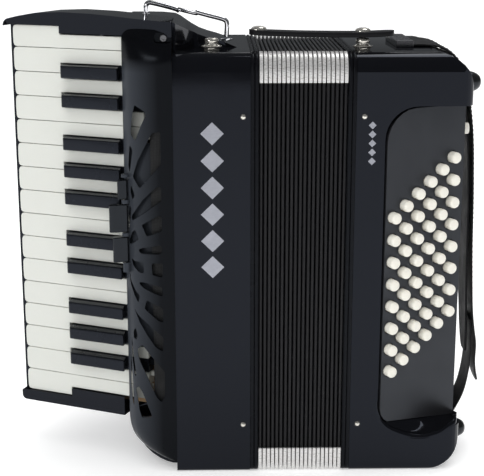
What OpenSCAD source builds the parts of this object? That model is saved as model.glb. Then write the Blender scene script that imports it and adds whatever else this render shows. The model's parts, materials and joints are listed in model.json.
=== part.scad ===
// Piano accordion: 26 piano keys, 48 bass buttons, closed bellows.
// X runs from the keyboard to the bass side, Y from the front to the player, Z up.
// Shapes are drawn from the treble casing's lower front left corner, and place()
// moves them so that the origin is the middle of the underside.

/* [Casings] */
// Height of both casings
casing_h = 340; // [336:1:344]
// Depth of both casings, front to back
body_d = 165; // [162:1:170]
// Width of the treble casing
treble_w = 59.5; // [58:0.5:62]
// Width of the bass casing
bass_w = 90.5; // [89:0.5:92]
// Wall thickness of the casings
wall = 4; // [3:0.5:5]

/* [Bellows] */
// Number of bellows folds
folds = 20; // [16:1:22]
// Width of one closed fold
fold_pitch = 3.4; // [3.2:0.1:3.6]
// Width of each bellows frame
frame_w = 6.5; // [6:0.5:8]

/* [Keyboard] */
// Distance from one white key to the next
key_pitch = 19.5; // [19.3:0.1:19.5]
// Angle between the keyboard and the front face
key_angle = 23.9; // [23:0.1:24.5]
// Length of a white key in front of its axle
key_reach = 78; // [76:1:80]
// Height of a black key above the white keys
black_rise = 8.5; // [7:0.5:9]
// Radius of the key axle
axle_r = 1.5; // [1.2:0.1:1.8]

/* [Bass buttons] */
// Radius of a bass button
button_r = 4.5; // [4:0.1:4.7]
// How far the buttons stand out of their board
button_out = 6.5; // [6:0.5:8]
// Travel of a bass button
button_travel = 4; // [3:0.5:4]
// Buttons along the board, from top to bottom
button_rows = 8; // [6:1:8]

/* [Hidden] */
$fn = 48;
clear = 0.3;
run = 0.08;

// Whole object
bellows_w = folds * fold_pitch + 2 * frame_w;
bass_x = treble_w + bellows_w;
end_x = bass_x + bass_w;
left_x = -136;
strap_bulge = 15;
mid_x = (left_x + end_x + strap_bulge) / 2;
mid_y = body_d / 2;
edge_r = 14;
corner_r = 30;

// Keyboard, in its own frame: x towards the grille, y into the board
key_x = -45;
key_y = 30;
key_top_z = 359.2;
white_keys = 16;
key_gap = 0.4;
axle_x = -14;
axle_y = 5.5;
key_tip_x = axle_x - key_reach;
key_end_x = 24;
head_end_x = -49;
key_t = 10;
pallet_x = 27;
pallet_l = 14;
pallet_w = 9;
black_w = 11;
board_y = 14.5;
board_back_y = 38;
board_left_x = -97;
cheek_front_y = -2;
cheek_end_x = 52;
board_low_z = 38.5;
foundation_y = 14;
foundation_t = 5;

// Black keys lie after these white keys, counted from the top
BLACK_AFTER = [2, 3, 5, 6, 7, 9, 10, 12, 13, 14];
// and sit this much above the joint between their white neighbours
BLACK_SHIFT = [1.9, -1.8, 3, 0.3, -2.4, 2.1, -1.6, 3.2, 0.6, -2];
// Key order from the top: true where the key is black
KEYS = [for (i = [1 : white_keys]) each (has_black(i) ? [[i, false], [i, true]] : [[i, false]])];
KEY_NAMES = [for (i = [0 : len(KEYS) - 1]) str("key_", i < 9 ? "0" : "", i + 1)];

// Bass button board, tilted back towards the end
board_angle = 26;
board_x = 163;
board_front_y = 2.5;
recess_low_z = 38;
recess_high_z = 300;
button_first_a = 8;
button_pitch_a = 11;
button_first_z = 212;
button_rise = 8.7;
button_pitch_z = 18.15;
BUTTON_NAMES = ["counter_bass_buttons", "bass_note_buttons", "major_chord_buttons",
                "minor_chord_buttons", "seventh_chord_buttons", "diminished_chord_buttons"];

// Air button on the end face
air_y = 46;
air_z = 275.5;

// Register switches: lowest and highest point of each
// and how far its tab reaches over the keys
SWITCHES = [[225.6, 241, 6], [198.8, 221.4, 13], [174.5, 195, 10.5]];
switch_x = -38.5;
switch_y = 15;

// Grille openings, in the front view: X and Z of each corner
GRILLE_SLOTS = [
  [[-29.5, 300.5], [-21.5, 296], [-20.5, 293.5], [-25, 284], [-29.5, 272.5], [-33, 277.5], [-31.5, 291.5]],
  [[-34, 269], [-31.5, 264.5], [-32.5, 260], [-33.5, 252], [-34.5, 247], [-35.4, 252]],
  [[-16, 280], [-9.5, 281], [-9.5, 255.5], [-26.5, 235.5], [-32, 244], [-28, 256.5], [-22, 268.5]],
  [[-33.5, 237], [-30.5, 229.5], [-32.5, 225.5], [-34, 232]],
  [[-13, 238], [-9.5, 238], [-9.5, 227], [-33, 208.5], [-33.5, 212.5], [-24.5, 226.5]],
  [[-35, 220.5], [-34, 218.5], [-34.6, 209.5], [-36.5, 200], [-36.2, 209.5]],
  [[-25.5, 206.5], [-12.5, 215], [-9.5, 214.5], [-9.5, 203], [-21.5, 197.5]],
  [[-31, 202], [-28, 195], [-29, 193.5], [-35.2, 188.5], [-36, 191], [-33.5, 199]],
  [[-28, 186.5], [-25, 188], [-11, 191.5], [-9.5, 190.5], [-9.5, 186], [-11.5, 184], [-26, 183], [-28, 184.6]],
  [[-34.4, 178], [-32, 176], [-24.5, 176.5], [-24.5, 167], [-28.5, 167.5], [-33, 172]],
  [[-18, 176.5], [-9, 177], [-9.5, 165.5], [-17.5, 166.5]],
  [[-28, 159.5], [-24.5, 160], [-10, 157.5], [-9.5, 150], [-14.5, 151], [-24, 154.5], [-28, 157.5]],
  [[-36.5, 163.5], [-34.5, 157.5], [-31, 151], [-28, 148.5], [-29.5, 142], [-32.5, 147.5], [-35.5, 156]],
  [[-22.5, 145.5], [-9.5, 140], [-9.5, 128.5], [-13, 129], [-24.5, 138]],
  [[-33, 137], [-30, 132], [-17, 122], [-9.5, 116], [-10, 104], [-15.5, 106.5], [-22.5, 116], [-29, 126.5]],
  [[-32.5, 120.5], [-30.5, 114.5], [-32, 110], [-34, 111.5], [-34, 117]],
  [[-27, 107.5], [-9, 87], [-9, 66], [-12, 60.5], [-16, 64.5], [-25, 84.5], [-30, 94], [-31, 102.5]],
  [[-36, 110.5], [-32.6, 80], [-33.8, 78.5], [-35.6, 92]],
  [[-30.5, 71], [-27.5, 66.5], [-20, 48], [-21, 46.5], [-28.5, 44], [-30.5, 50.5], [-33, 68.5]],
  [[-36.8, 98.5], [-34.8, 52], [-36.2, 56], [-37.4, 70.5]]
];

function has_black(i) = len([for (b = BLACK_AFTER) if (b == i) b]) > 0;
function arc(x, y, r, from, to, steps = 8) =
  [for (i = [0 : steps]) let (a = from + (to - from) * i / steps) [x + r * cos(a), y + r * sin(a)]];
function white_top(i) = key_top_z - (i - 1) * key_pitch;
function white_mid(i) = white_top(i) - key_pitch / 2 - (i == 1 ? 3 : 0);
function black_mid(i) = white_top(i + 1) + BLACK_SHIFT[search(i, BLACK_AFTER)[0]];

module place() {
  translate([-mid_x, -mid_y, 0])
  children();
}

// Keyboard frame
module on_keys() {
  place()
  translate([key_x, key_y, 0])
  rotate([0, 0, -key_angle])
  children();
}

// Bass board frame: x along the board, y into the casing
module on_board() {
  place()
  translate([board_x, board_front_y, 0])
  rotate([0, 0, board_angle])
  children();
}

// Outlines in the X-Z plane, pushed from y0 to y1
module push_y(y0, y1) {
  translate([0, y1, 0])
  rotate([90, 0, 0])
  linear_extrude(y1 - y0)
  children();
}

// Outlines in the Y-Z plane, pushed from x0 to x1
module push_x(x0, x1) {
  translate([x0, 0, 0])
  rotate([90, 0, 90])
  linear_extrude(x1 - x0)
  children();
}

module side_outline(inset, low_r) {
  y0 = inset;
  y1 = body_d - inset;
  z0 = inset;
  z1 = casing_h - inset;
  r = edge_r - inset;
  polygon(concat(
    arc(y0 + r, z1 - r, r, 180, 90),
    arc(y1 - r, z1 - r, r, 90, 0),
    arc(y1 - low_r, z0 + low_r, low_r, 0, -90, 4),
    arc(y0 + low_r, z0 + low_r, low_r, -90, -180, 4)));
}

// ---- Treble side ----

// Rear left part of the treble casing in plan
module treble_plan(inset) {
  b = inset * 0.7;
  polygon([[treble_w, 31 + inset], [1.2 + b, 31 + inset], [-34.2 + 1.6 * inset, 46.6 + inset],
           [-26.3 + inset, 64.2 + inset], [-36 + inset, 68.6 + inset],
           [-36 + inset, 132], [-28 + b, 152 - b], [-8, body_d - inset], [treble_w, body_d - inset]]);
}

module treble_front(inset) {
  polygon(concat(
    [[treble_w, inset], [treble_w, casing_h - inset]],
    arc(-36 + 8, casing_h - 8, 8 - inset, 90, 180, 4),
    arc(-36 + 34, 34 + 2, 34 - inset, 180, 270)));
}

// Curve from the keyboard's top cheek down to the casing's top
SHOULDER = [[-36, 364], [-20, 364], [-10, 363.8], [0, 362.8], [4, 360.8], [8, 358], [13, 354.6],
            [19, 351.2], [26, 348.6], [34, 346.4], [42, 343.6], [50, 340]];

module shoulder() {
  intersection() {
    push_y(12, 112)
    polygon(concat([[50, 335], [-36, 335]], SHOULDER));
    translate([0, 0, 330])
    linear_extrude(40)
    polygon([[0.1, 12.5], [2.5, 12.5], [16, 44], [50, 52], [50, 112], [-36, 112], [-36, 68.8],
             [-26.2, 64.5], [0.1, 52.8]]);
  }
}

module treble_casing() {
  color("#17181c")
  place()
  difference() {
    union() {
      push_x(0, treble_w)
      side_outline(0, 3);
      intersection() {
        push_y(30, body_d)
        treble_front(0);
        linear_extrude(casing_h)
        treble_plan(0);
      }
      shoulder();
      // foot under the keyboard and the grille
      intersection() {
        push_y(12, 70)
        treble_front(0);
        linear_extrude(board_low_z - clear)
        polygon([[0, 12.8], [-4, 12.8], [-33, 25.3], [-36, 25.3], [-36, 60], [-20, 60], [0, 40]]);
      }
    }
    push_x(wall, treble_w + 1)
    side_outline(wall, 3);
    intersection() {
      push_y(30, body_d)
      treble_front(wall);
      linear_extrude(casing_h)
      treble_plan(wall);
    }
    // opening behind the foundation board
    translate([key_x, key_y, 60])
    rotate([0, 0, -key_angle])
    translate([12, foundation_y, 0])
    cube([26, 16, 280]);
  }
}

module cheek_outline(low, high, right) {
  polygon(concat(
    arc(board_left_x + 3, high - 9, 6, 180, 100, 4),
    [[-85, high - 0.8], [-70, high + 1.8], [-46, high + 3], [-20, high + 2.4], [0, high + 1.2], [20, high - 0.4],
     [right, high - 2.2], [right, low - 6], [-48.3, low - 6], [-48.3, low]],
    arc(board_left_x + 2.5, low + 2.5, 2.5, 270, 180, 3)));
}

module low_cheek_outline() {
  low = board_low_z;
  polygon(concat(
    arc(board_left_x + 4, low + 4, 4, 180, 270, 4),
    [[2, low], [2, low + 16], [-48, low + 16], [-48, low + 9],
     [board_left_x + 1, low + 9], [board_left_x, low + 8]]));
}

module fingerboard() {
  color("#1a1b1f")
  on_keys()
  difference() {
    union() {
      push_y(board_y, board_back_y)
      polygon(concat(
        arc(board_left_x + 3, 356, 6, 180, 100, 4),
        [[-85, 364.2], [-70, 366.8], [-46, 368], [-20, 367.4], [0, 366.2], [2, 366], [2, board_low_z]],
        arc(board_left_x + 4, board_low_z + 4, 4, 270, 180, 4)));
      push_y(cheek_front_y, board_back_y)
      cheek_outline(357.6, 365, cheek_end_x);
      push_y(cheek_front_y, board_back_y)
      low_cheek_outline();
      // edge strip in front of the free ends of the keys
      translate([board_left_x, 5, board_low_z + 4])
      cube([3.5, board_y, casing_h - 24]);
      translate([3, 19.6, casing_h + 0.4])
      cube([cheek_end_x - 3, board_back_y - 19.6, 12]);
    }
    // the right end lies in line with the casing's left face
    rotate([0, 0, key_angle])
    translate([-key_x - 0.2, -key_y - 20, 330])
    cube([60, 140, 60]);
    translate([axle_x, axle_y, 46])
    cylinder(h = 314, r = axle_r + run);
    // rounded rear edge
    translate([board_left_x - 4, board_back_y - 14, 0])
    rotate([0, 0, 40])
    translate([-30, 4, 0])
    cube([30, 40, 400]);
  }
}

module key_axle() {
  color("silver")
  on_keys()
  translate([axle_x, axle_y, 46.5])
  cylinder(h = 313, r = axle_r);
}

// Grille: bulged in plan, rounded over at the top and at the lower left
module grille_plan(inset) {
  open_back = inset > 0 ? 8 : 0;
  polygon([[0, -1 + inset], [-6, -1.2 + inset], [-13, 0.2 + inset], [-20, 2.8 + inset],
           [-27, 6.8 + inset], [-33, 11.8 + inset], [-37 + 0.4 * inset, 17 + inset * 0.8],
           [-39.5 + inset, 23], [-39.5 + inset, 25 + open_back], [-33, 25 + open_back],
           [-4, 12.5 + open_back], [0, 12.5 + open_back]]);
}

module grille_front(inset) {
  polygon(concat(
    [[0, 9.6 + inset], [0, 357 - inset]],
    arc(-39.5 + 8, 349, 8 - inset, 90, 180, 5),
    arc(-39.5 + 35, 44.6, 35 - inset, 180, 270, 10)));
}

module grille_side(inset) {
  polygon(concat([[40, 9.6], [40, 357 - inset]], arc(19, 337, 20 - inset, 90, 180), [[-1 + inset, 9.6]]));
}

module grille_body(inset) {
  intersection() {
    linear_extrude(400)
    grille_plan(inset);
    push_y(-2, 40)
    grille_front(inset);
    push_x(-40, 0)
    grille_side(inset);
  }
}

module treble_grille() {
  color("#202126")
  place() {
    grille_shell();
    // ears between the switches
    for (z = [[243, 245.4], [222, 225], [195.6, 198.2], [166.4, 173.9]])
      translate([0, 0, z[0]])
      linear_extrude(z[1] - z[0])
      polygon([[-34.6, 14.6], [-37, 12], [-40, 11.8], [-41.4, 13], [-41.4, 15.5],
               [-38.2, 18.5], [-36.2, 18]]);
  }
}

module grille_shell() {
  skin = 2.4;
  difference() {
    grille_body(0);
    intersection() {
      grille_body(skin);
      push_x(-40, -skin)
      square([60, 400]);
    }
    // seat against the front of the keyboard's top cheek
    translate([key_x, key_y, 351])
    rotate([0, 0, -key_angle])
    translate([-60, cheek_front_y - clear, 0])
    cube([160, 60, 20]);
    push_y(-5, 30)
    for (slot = GRILLE_SLOTS) polygon(slot);
    // long screw recess near the top
    push_y(-5, 12) {
      translate([-10.4, 347.6])
      square([6.8, 6.8]);
      for (x = [-10.4, -3.6])
        translate([x, 351])
        circle(r = 3.4);
    }
  }
}

module grille_cloth() {
  color("#0c0c0e")
  place()
  intersection() {
    difference() {
      linear_extrude(400)
      grille_plan(3);
      linear_extrude(400)
      grille_plan(3.6);
      translate([-60, 11, 0])
      cube([100, 30, 400]);
    }
    translate([-18, 0, 60])
    cube([15, 12, 240]);
  }
}

module register_switch(i) {
  low = SWITCHES[i - 1][0];
  high = SWITCHES[i - 1][1];
  reach = SWITCHES[i - 1][2];
  color("#2a2b30")
  place()
  translate([switch_x, switch_y, low])
  union() {
    cylinder(h = high - low, r = 2);
    linear_extrude(high - low)
    polygon([[0, -2], [-0.3 * reach, -2.6], [-0.75 * reach, -4.2], [-0.97 * reach, -3.6],
             [-reach, -0.5], [-0.88 * reach, 1.4], [-0.25 * reach, 2], [0, 2]]);
  }
}

module treble_foundation_board() {
  color("tan")
  on_keys()
  difference() {
    translate([3, foundation_y, 46])
    cube([37.6, foundation_t, 305]);
    for (k = [0 : len(KEYS) - 1])
      translate([pallet_x + 2, foundation_y - 1, key_z(k) - 2.5])
      cube([pallet_l - 4, foundation_t + 2, 5]);
  }
}

module reed_block(x, y, w, d, low, high, cells) {
  cell = (high - low - 6) / cells;
  translate([x, y, low])
  difference() {
    cube([w, d, high - low]);
    for (i = [0 : cells - 1])
      translate([-1, 3, 4 + i * cell])
      cube([w - 3, d - 6, cell - 3]);
  }
}

module reed_plates(x, y, d, low, high, cells) {
  cell = (high - low - 6) / cells;
  for (i = [0 : cells - 1])
    translate([x, y + 2, low + 3.5 + i * cell])
    cube([1.2, d - 4, cell - 2]);
}

module treble_reed_blocks() {
  color("burlywood")
  place()
  {
    for (y = [52, 104]) {
      reed_block(12, y, 38, 20, 30, 310, 13);
      reed_plates(50, y, 20, 30, 310, 13);
    }
    // board that carries the blocks, with a window behind each one
    difference() {
      intersection() {
        translate([8, 40, wall])
        cube([4, body_d - wall - 40, casing_h - 2 * wall]);
        push_x(7, 13)
        side_outline(wall + 0.1, 3);
      }
      for (y = [56, 108])
        translate([7, y, 36])
        cube([6, 12, 268]);
    }
  }
}

// Bellows frame: two rounded ridges side by side
module bellows_frame(x) {
  proud = 1.2;
  difference() {
    union() {
      for (dx = [0, frame_w / 2])
        push_x(x + dx + 0.1, x + dx + frame_w / 2 - 0.1)
        frame_outline(-proud);
      push_x(x, x + frame_w)
      frame_outline(-proud + 1);
    }
    push_x(x - 1, x + frame_w + 1)
    frame_outline(10);
  }
}

module frame_outline(inset) {
  y0 = inset;
  y1 = body_d - inset;
  z1 = casing_h - inset;
  z0 = max(inset, 0) + 0.3;
  r = edge_r - min(inset, 8);
  polygon(concat(
    arc(y0 + r, z1 - r, r, 180, 90, 6), arc(y1 - r, z1 - r, r, 90, 0, 6),
    arc(y1 - 3, z0 + 3, 3, 0, -90, 3), arc(y0 + 3, z0 + 3, 3, -90, -180, 3)));
}

module treble_bellows_frame() {
  color("#131418")
  place()
  bellows_frame(treble_w);
}

// Domed pin heads on the front and the rear face
module round_pin(x, z) {
  for (side = [0, 1])
    translate([x, side * body_d, z])
    rotate([90 - 180 * side, 0, 0])
    rotate_extrude()
    polygon([[0, 0], [2.15, 0], [2.15, 0.6], [1.6, 1.3], [0.8, 1.7], [0, 1.8]]);
}

// Two-step strap stud with a wide flange
module strap_stud(x, y) {
  translate([x, y, casing_h])
  rotate_extrude()
  polygon([[0, 0], [6, 0], [6, 2], [8, 2.6], [8, 3.6], [5.2, 4.6], [5.2, 8], [4.2, 9.2], [0, 9.6]]);
}

module treble_fasteners() {
  color("silver")
  place() {
    for (z = [40.9, 292.3]) round_pin(treble_w - 5.6, z);
    strap_stud(30, 30);
  }
}

// Sloping wire with a narrow eye in the middle and a foot at each end
bail_y = 65;
bail_r = 1.75;
BAIL = [[-22.2, 364.2], [-22.2, 371.5], [-19.5, 374], [4, 368.8]];
BAIL_RIGHT = [[17.5, 366], [40.5, 361], [42.5, 358], [41.8, 345.8]];

module wire(points, r) {
  for (i = [0 : len(points) - 2]) {
    a = points[i];
    d = points[i + 1] - a;
    translate([a[0], 0, a[1]])
    rotate([0, atan2(d[0], d[1]), 0])
    cylinder(h = norm(d), r = r);
    translate([points[i + 1][0], 0, points[i + 1][1]])
    sphere(r = 1.04 * r);
  }
}

module bail_eye() {
  translate([10.8, 0, 366.4])
  rotate([0, 13, 0])
  difference() {
    union() {
      cube([12, 8, 2.8], center = true);
      for (x = [-6, 6])
        translate([x, 0, -1.4])
        cylinder(h = 2.8, r = 4);
    }
    cube([12, 2.6, 4], center = true);
    for (x = [-6, 6])
      translate([x, 0, -2])
      cylinder(h = 4, r = 1.3);
  }
}

module strap_bail() {
  color("silver")
  place()
  difference() {
    translate([0, bail_y, 0]) {
      wire(BAIL, bail_r);
      wire(BAIL_RIGHT, bail_r);
      bail_eye();
      translate([-22.2, 0, 363.9])
      cylinder(h = 1.6, r = 3);
      translate([41.8, 0, 343.9])
      cylinder(h = 2, r = 5);
    }
    shoulder();
  }
}

// ---- Bellows ----

// One long folded wall: sharp folds outside, hollow inside
module bellows_folds() {
  depth = 9;
  x0 = treble_w + frame_w + clear;
  x1 = bass_x - frame_w - clear;
  color("#0e0f12")
  place()
  difference() {
    push_x(x0, x1)
    fold_outline(0);
    push_x(x0 - 1, x1 + 1)
    fold_outline(depth);
  }
}

module fold_outline(inset) {
  y0 = inset + 0.6;
  y1 = body_d - inset - 0.6;
  z1 = casing_h - 0.8 - inset;
  z0 = 1.5 + inset;
  r = max(edge_r - inset, 2);
  polygon(concat(
    arc(y0 + r, z1 - r, r, 180, 90, 6), arc(y1 - r, z1 - r, r, 90, 0, 6),
    arc(y1 - 4, z0 + 4, 4, 0, -90, 3), arc(y0 + 4, z0 + 4, 4, -90, -180, 3)));
}

module bellows_corner_guards() {
  x0 = treble_w + frame_w;
  color("gainsboro")
  place()
  intersection() {
    for (i = [0 : folds - 1])
      push_x(x0 + (i + 0.14) * fold_pitch, x0 + (i + 0.86) * fold_pitch)
      difference() {
        fold_outline(-0.6);
        fold_outline(-0.05);
      }
    union() {
      for (y = [-5, body_d - 13]) {
        translate([x0 - 1, y, casing_h - 25])
        cube([bellows_w, 18, 40]);
        translate([x0 - 1, y, 0])
        cube([bellows_w, 18, 17]);
      }
    }
  }
}

// ---- Bass side ----

module bass_front(inset) {
  r = corner_r - inset;
  x1 = end_x - inset;
  polygon(concat(
    [[bass_x - 1, casing_h - inset]],
    arc(x1 - r, casing_h - inset - r, r, 90, 0, 10),
    arc(x1 - r, inset + r, r, 0, -90, 10),
    [[bass_x - 1, inset]]));
}

module bass_plan(inset) {
  r = 9 - inset;
  x1 = end_x - inset;
  polygon(concat(
    [[bass_x, inset]],
    arc(x1 - r, inset + r, r, -90, 0, 5),
    arc(x1 - r, body_d - inset - r, r, 0, 90, 5),
    [[bass_x, body_d - inset]]));
}

module bass_block(inset) {
  intersection() {
    push_x(bass_x, end_x)
    side_outline(inset, 3);
    push_y(-1, body_d + 1)
    bass_front(inset);
    linear_extrude(casing_h)
    bass_plan(inset);
  }
}

// Recess in front of the button board, grown by a wall
module button_recess(grow) {
  r = 26;
  intersection() {
    linear_extrude(casing_h)
    polygon([[board_x - grow, -20], [end_x + 20, -20],
             [end_x + 20, board_front_y + (end_x + 20 - board_x) * tan(board_angle) + grow],
             [board_x - grow, board_front_y + grow]]);
    push_y(-30, body_d)
    polygon(concat(
      [[end_x + 20, recess_low_z - grow], [end_x + 20, recess_high_z + grow]],
      arc(board_x + r - grow, recess_high_z + grow - r, r, 90, 180),
      arc(board_x + 14 - grow, recess_low_z - grow + 14, 14, 180, 270, 5)));
  }
}

module bass_casing() {
  color("#17181c")
  place()
  difference() {
    bass_block(0);
    button_recess(0);
    difference() {
      bass_block(wall);
      button_recess(wall);
      // flange that holds the bellows frame's pins
      translate([bass_x - 1, 0, 0])
      cube([3, body_d, 16]);
    }
    // the bellows side is open
    translate([bass_x - 1, 14, 18])
    cube([8, body_d - 28, casing_h - 36]);
    // opening behind the button board
    translate([board_x, board_front_y, 0])
    rotate([0, 0, board_angle])
    translate([2.5, -1, 76])
    cube([66, 12, 189]);
    // service opening at the rear, under its cover
    translate([bass_x + 14, body_d - 8, 60])
    cube([bass_w - 34, 20, 220]);
    translate([end_x - wall - 1, air_y, air_z])
    rotate([0, 90, 0])
    cylinder(h = wall + 4, r = 5);
  }
}

module bass_bellows_frame() {
  color("#131418")
  place()
  bellows_frame(bass_x - frame_w);
}

module bass_fasteners() {
  color("silver")
  place() {
    for (z = [40.9, 292.3]) round_pin(bass_x + 6.1, z);
    strap_stud(147, 28);
  }
}

function button_z(col, row) = button_first_z + col * button_rise - row * button_pitch_z;

module bass_button_board() {
  long = 73;
  color("#2b2b2f")
  on_board()
  difference() {
    intersection() {
      translate([1, -2.6, recess_low_z + 3])
      cube([long, 2.4, recess_high_z - recess_low_z - 6]);
      push_y(-10, 10)
      polygon(concat(
        [[long + 1, recess_low_z], [long + 1, recess_high_z - 3]],
        arc(27, recess_high_z - 29, 26, 90, 180, 6),
        arc(15, recess_low_z + 15, 14, 180, 270, 4)));
    }
    for (col = [0 : 5])
      for (row = [0 : button_rows - 1])
        translate([button_first_a + col * button_pitch_a, 5, button_z(col, row)])
        rotate([90, 0, 0])
        cylinder(h = 12, r = button_r + 0.75);
  }
}

// One line of buttons: caps with a shallow dome on short stems
module button_line(col) {
  color("ivory")
  on_board()
  for (row = [0 : button_rows - 1])
    translate([button_first_a + col * button_pitch_a, -2.6, button_z(col, row)])
    rotate([90, 0, 0])
    rotate_extrude()
    polygon([[0, -9], [1.5, -9], [1.5, -4.5], [button_r, -4.5], [button_r, button_out - 0.8],
             [button_r - 0.6, button_out - 0.2], [button_r - 1.5, button_out],
             [0, button_out + 0.3]]);
}

module bass_reed_blocks() {
  color("burlywood")
  place() {
    for (y = [66, 104]) {
      reed_block(bass_x + 8, y, 30, 20, 40, 300, 12);
      reed_plates(bass_x + 38, y, 20, 40, 300, 12);
    }
    // sound board under the reed blocks
    intersection() {
      translate([bass_x + 42, 60, wall])
      cube([4, body_d - wall - 60, casing_h - 2 * wall]);
      push_x(bass_x + 40, bass_x + 50)
      side_outline(wall + 0.1, 3);
    }
  }
}

// Rods that the button levers turn
module bass_mechanism() {
  color("silver")
  place() {
    for (i = [0 : 11])
      translate([bass_x + 52 + (i % 3) * 6, 78 + floor(i / 3) * 16, 50])
      cylinder(h = 240, r = 1.5);
    for (z = [50, 170, 286])
      translate([bass_x + 46, 74, z])
      cube([21, 56, 3]);
  }
}

module bass_back_cover() {
  color("#1b1c20")
  place()
  difference() {
    translate([bass_x + 10, body_d + 0.0, 52])
    cube([bass_w - 26, 2, 236]);
    for (x = [bass_x + 14, end_x - 20], z = [57, 283])
      translate([x, body_d - 3, z])
      rotate([-90, 0, 0])
      cylinder(h = 10, r = 1.4);
  }
}

// Air valve button in the end face
module air_button() {
  color("ivory")
  place()
  translate([end_x - wall - 6, air_y, air_z])
  rotate([0, 90, 0])
  rotate_extrude()
  polygon([[0, 0], [2, 0], [2, 6], [4.6, 6], [4.6, 14.2], [3.6, 15], [0, 15.3]]);
}

module rubber_feet() {
  color("#101012")
  place()
  difference() {
    for (y = [38, body_d - 38], z = [21, 314])
      translate([foot_base_x(z), y, z])
      rotate([0, 90, 0])
      rotate_extrude()
      polygon([[0, 0], [8.5, 0], [8.5, foot_skirt(z)], [7.4, foot_skirt(z) + 5],
               [5.2, foot_skirt(z) + 8.4], [2.6, foot_skirt(z) + 10], [0, foot_skirt(z) + 10.4]]);
    bass_block(0);
  }
}

function foot_base_x(z) = end_x - corner_r + sqrt(corner_r * corner_r - pow(inner_off(z), 2)) - 0.4;
function inner_off(z) = z < corner_r ? corner_r - z + 9 : z > casing_h - corner_r ? z - casing_h + corner_r + 9 : 9;
function foot_skirt(z) = end_x - foot_base_x(z) + 1;

// Band over the upper corner, down the end and back in at the bottom
strap_y = 50;
strap_w = 60;

// Thin band along a line of points, by offsetting each point sideways
function side_at(p, i) =
  let (a = p[max(i - 1, 0)], b = p[min(i + 1, len(p) - 1)], d = (b - a) / norm(b - a)) [-d[1], d[0]];
function band(p, t) = concat(
  [for (i = [0 : len(p) - 1]) p[i]],
  [for (i = [len(p) - 1 : -1 : 0]) p[i] + t * side_at(p, i)]);

STRAP_LINE = concat([[187, 341]], arc(201, 310, 31, 90, 24, 8), [[233.6, 308],
              [237.6, 290], [241, 260], [242.8, 220], [243.4, 170], [242, 130], [239.5, 108],
              [236.4, 92], [234, 80], [231.7, 70]]);
PAD_LINE = [[232.5, 297], [235, 280], [237.6, 250], [239.2, 215], [239.7, 170], [238.4, 132], [236.5, 112]];

module bass_strap() {
  color("#141416")
  place()
  push_y(strap_y, strap_y + strap_w)
  polygon(band(STRAP_LINE, 2.2));
}

module bass_strap_pad() {
  color("#1a1a1d")
  place()
  push_y(strap_y + 2, strap_y + strap_w - 2)
  polygon(band(PAD_LINE, 3));
}

module bass_strap_clip() {
  color("#77777a")
  place()
  difference() {
    translate([176, strap_y - 2, casing_h])
    cube([14, strap_w + 4, 5.2]);
    translate([180, strap_y - 0.2, casing_h + 0.8])
    cube([20, strap_w + 0.4, 3.4]);
  }
}

module bellows_strap() {
  color("#141416")
  place()
  difference() {
    union() {
      push_y(19, 37)
      polygon([[59, 352.3], [80, 351.4], [110, 350.4], [147, 350.2], [171, 351.4], [171, 355.2],
               [147, 354.2], [110, 354.4], [80, 355.4], [59, 356.3]]);
      for (x = [66.5, 147])
        translate([x, 28, 354])
        rotate_extrude()
        polygon([[0, 0], [6, 0], [6, 1.6], [4.4, 2.8], [0, 3.3]]);
    }
  }
}

// ---- Keys ----

module key_arm(z, low, high) {
  translate([20, 5, low])
  cube([pallet_x + pallet_l - 20, 3, high - low]);
  translate([pallet_x, 8, z - pallet_w / 2])
  cube([pallet_l, foundation_y - clear - 8, pallet_w]);
}

module white_key(i) {
  high = white_top(i) - key_gap / 2 - (i == 1 ? 1.9 : 0);
  low = white_top(i + 1) + key_gap / 2 + (i == white_keys ? 0.6 : 0);
  cut = black_w / 2 + 0.6;
  tail_high = (i > 1 && has_black(i - 1)) ? black_mid(i - 1) - cut : i == 1 ? high - 6.6 : high;
  tail_low = has_black(i) ? black_mid(i) + cut : i == white_keys ? low + 7.2 : low;
  color("#e9e9e2")
  on_keys()
  difference() {
    union() {
      translate([key_tip_x, 0, low])
      cube([head_end_x - key_tip_x, 4, high - low]);
      translate([key_tip_x + 3, 0, low + 0.6])
      cube([head_end_x - key_tip_x - 3, key_t, high - low - 1.2]);
      translate([head_end_x - 1, 0, tail_low])
      cube([key_end_x - head_end_x + 1, key_t, tail_high - tail_low]);
      key_arm(white_mid(i), max(white_mid(i) - 2.5, tail_low), min(white_mid(i) + 2.5, tail_high));
    }
    translate([axle_x, axle_y, low - 5])
    cylinder(h = key_pitch + 10, r = axle_r + run);
  }
}

module black_key(i) {
  z = black_mid(i);
  color("#111114")
  on_keys()
  difference() {
    union() {
      translate([-47, 0.4, z - black_w / 2])
      cube([47 + key_end_x, key_t - 0.4, black_w]);
      intersection() {
        translate([0, 0, z - black_w / 2])
        linear_extrude(black_w)
        polygon([[-47.5, 2], [-47, 0], [-43, -black_rise + 0.8], [-41.6, -black_rise],
                 [7, -black_rise], [4, 2]]);
        push_x(-60, 20)
        polygon([[2, z - black_w / 2], [-black_rise + 1, z - black_w / 2 + 1.3], [-black_rise, z - black_w / 2 + 2.2],
                 [-black_rise, z + black_w / 2 - 2.2], [-black_rise + 1, z + black_w / 2 - 1.3],
                 [2, z + black_w / 2]]);
      }
      key_arm(white_top(i + 1), white_top(i + 1) - 2.5, white_top(i + 1) + 2.5);
    }
    translate([axle_x, axle_y, z - 10])
    cylinder(h = 20, r = axle_r + run);
  }
}

function key_z(k) = KEYS[k][1] ? white_top(KEYS[k][0] + 1) : white_mid(KEYS[k][0]);

module key(k) {
  if (KEYS[k][1]) black_key(KEYS[k][0]);
  else white_key(KEYS[k][0]);
}

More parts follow.
